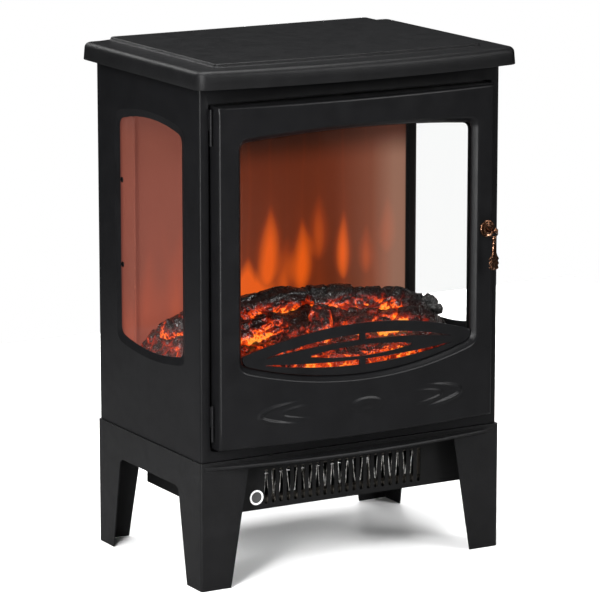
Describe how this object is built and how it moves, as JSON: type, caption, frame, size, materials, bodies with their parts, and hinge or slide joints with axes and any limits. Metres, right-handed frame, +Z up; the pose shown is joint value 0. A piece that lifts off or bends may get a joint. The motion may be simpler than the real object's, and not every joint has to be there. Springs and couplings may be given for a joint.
{
  "type": "electric fireplace stove",
  "caption": "Free-standing electric stove fireplace: steel cabinet on a leg base, bowed hinged glass door, two side windows, log bed with flame screen, fan heater behind a slotted panel.",
  "frame": {"origin": "on the floor, under the middle of the overall box", "axes": "+Z up, front (door) towards -Y, +X to the right seen from the front"},
  "size_m": [0.4316, 0.3186, 0.62],
  "materials": {
    "textured_coat_black": "fine textured black powder coat",
    "powder_coat_black": "smooth satin black powder coat",
    "inner_steel_black": "matt black inside paint",
    "tempered_glass": "clear tempered glass",
    "flame_screen_acrylic": "translucent lit acrylic",
    "charred_log_resin": "rough charred resin with glowing cracks",
    "ember_resin": "translucent ember bed, lit from below",
    "antique_copper": "antique copper plate",
    "zinc_plated_steel": "zinc plate",
    "mica_board": "mica",
    "resistance_wire": "bright drawn wire",
    "black_plastic": "moulded black",
    "circuit_board": "coated board",
    "badge_white": "plain white label",
    "spindle_foil": "bright foil"
  },
  "bodies": {
    "stove": {"base_frame": "textured_coat_black", "top_lid": "textured_coat_black", "cabinet_shell": "powder_coat_black", "back_panel": "powder_coat_black", "vent_panel": "inner_steel_black", "heater_box": "inner_steel_black", "floor_plate": "inner_steel_black", "deck_plate": "inner_steel_black", "control_panel": "inner_steel_black", "screen_screw_left_1": "inner_steel_black", "screen_screw_left_2": "inner_steel_black", "screen_screw_right_1": "inner_steel_black", "screen_screw_right_2": "inner_steel_black", "side_glass_left": "tempered_glass", "side_glass_right": "tempered_glass", "flame_screen": "flame_screen_acrylic", "log_rear_left": "charred_log_resin", "log_rear_right": "charred_log_resin", "log_front_left": "charred_log_resin", "log_middle": "charred_log_resin", "log_front_right": "charred_log_resin", "ember_bed": "ember_resin", "back_screw_1": "zinc_plated_steel", "back_screw_2": "zinc_plated_steel", "back_screw_3": "zinc_plated_steel", "back_screw_4": "zinc_plated_steel", "fan_scroll": "zinc_plated_steel", "fan_motor": "zinc_plated_steel", "spindle_bracket": "zinc_plated_steel", "spindle_motor": "zinc_plated_steel", "hinge_leaf_upper": "zinc_plated_steel", "hinge_leaf_lower": "zinc_plated_steel", "element_frame": "mica_board", "element_wire": "resistance_wire", "switch_bank": "black_plastic", "thermostat_body": "black_plastic", "terminal_block": "black_plastic", "cord_gland": "black_plastic", "thermal_cutout": "black_plastic", "magnet_catch": "black_plastic", "led_board_bed": "circuit_board", "led_board_rear": "circuit_board", "vent_badge": "badge_white"},
    "door": {"door_panel": "powder_coat_black", "door_glass": "tempered_glass", "door_glass_retainer": "inner_steel_black", "door_fret": "powder_coat_black", "hinge_ear_upper": "zinc_plated_steel", "hinge_ear_lower": "zinc_plated_steel", "strike_plate": "zinc_plated_steel", "handle_rosette": "antique_copper", "handle_post": "antique_copper"},
    "pendant": {"handle_pendant": "antique_copper"},
    "rocker_a": {"rocker_1": "black_plastic"},
    "rocker_b": {"rocker_2": "black_plastic"},
    "rocker_c": {"rocker_3": "black_plastic"},
    "knob": {"thermostat_knob": "black_plastic"},
    "fan_wheel_body": {"fan_wheel": "inner_steel_black"},
    "spindle_body": {"flame_spindle": "spindle_foil"}
  },
  "joints": [
    {"name": "door_hinge", "type": "hinge", "parent": "stove", "child": "door", "pos_m": [-0.189, -0.1195, 0.37], "axis": [0, 0, -1], "range_deg": [0, 110]},
    {"name": "handle_swing", "type": "hinge", "parent": "door", "child": "pendant", "pos_m": [0.1755, -0.15238, 0.399], "axis": [-1, 0, 0], "range_deg": [0, 80]},
    {"name": "thermostat_turn", "type": "hinge", "parent": "stove", "child": "knob", "pos_m": [0.06, -0.105, 0.207], "axis": [0, 1, 0], "range_deg": [0, 270]},
    {"name": "fan_spin", "type": "hinge", "parent": "stove", "child": "fan_wheel_body", "pos_m": [0, 0.0315, 0.118], "axis": [1, 0, 0], "continuous": true},
    {"name": "spindle_spin", "type": "hinge", "parent": "stove", "child": "spindle_body", "pos_m": [0, 0.1095, 0.3], "axis": [1, 0, 0], "continuous": true},
    {"name": "rocker_a_tilt", "type": "hinge", "parent": "stove", "child": "rocker_a", "pos_m": [-0.1, -0.1032, 0.207], "axis": [1, 0, 0], "range_deg": [0, 12]},
    {"name": "rocker_b_tilt", "type": "hinge", "parent": "stove", "child": "rocker_b", "pos_m": [-0.068, -0.1032, 0.207], "axis": [1, 0, 0], "range_deg": [0, 12]},
    {"name": "rocker_c_tilt", "type": "hinge", "parent": "stove", "child": "rocker_c", "pos_m": [-0.036, -0.1032, 0.207], "axis": [1, 0, 0], "range_deg": [0, 12]}
  ]
}
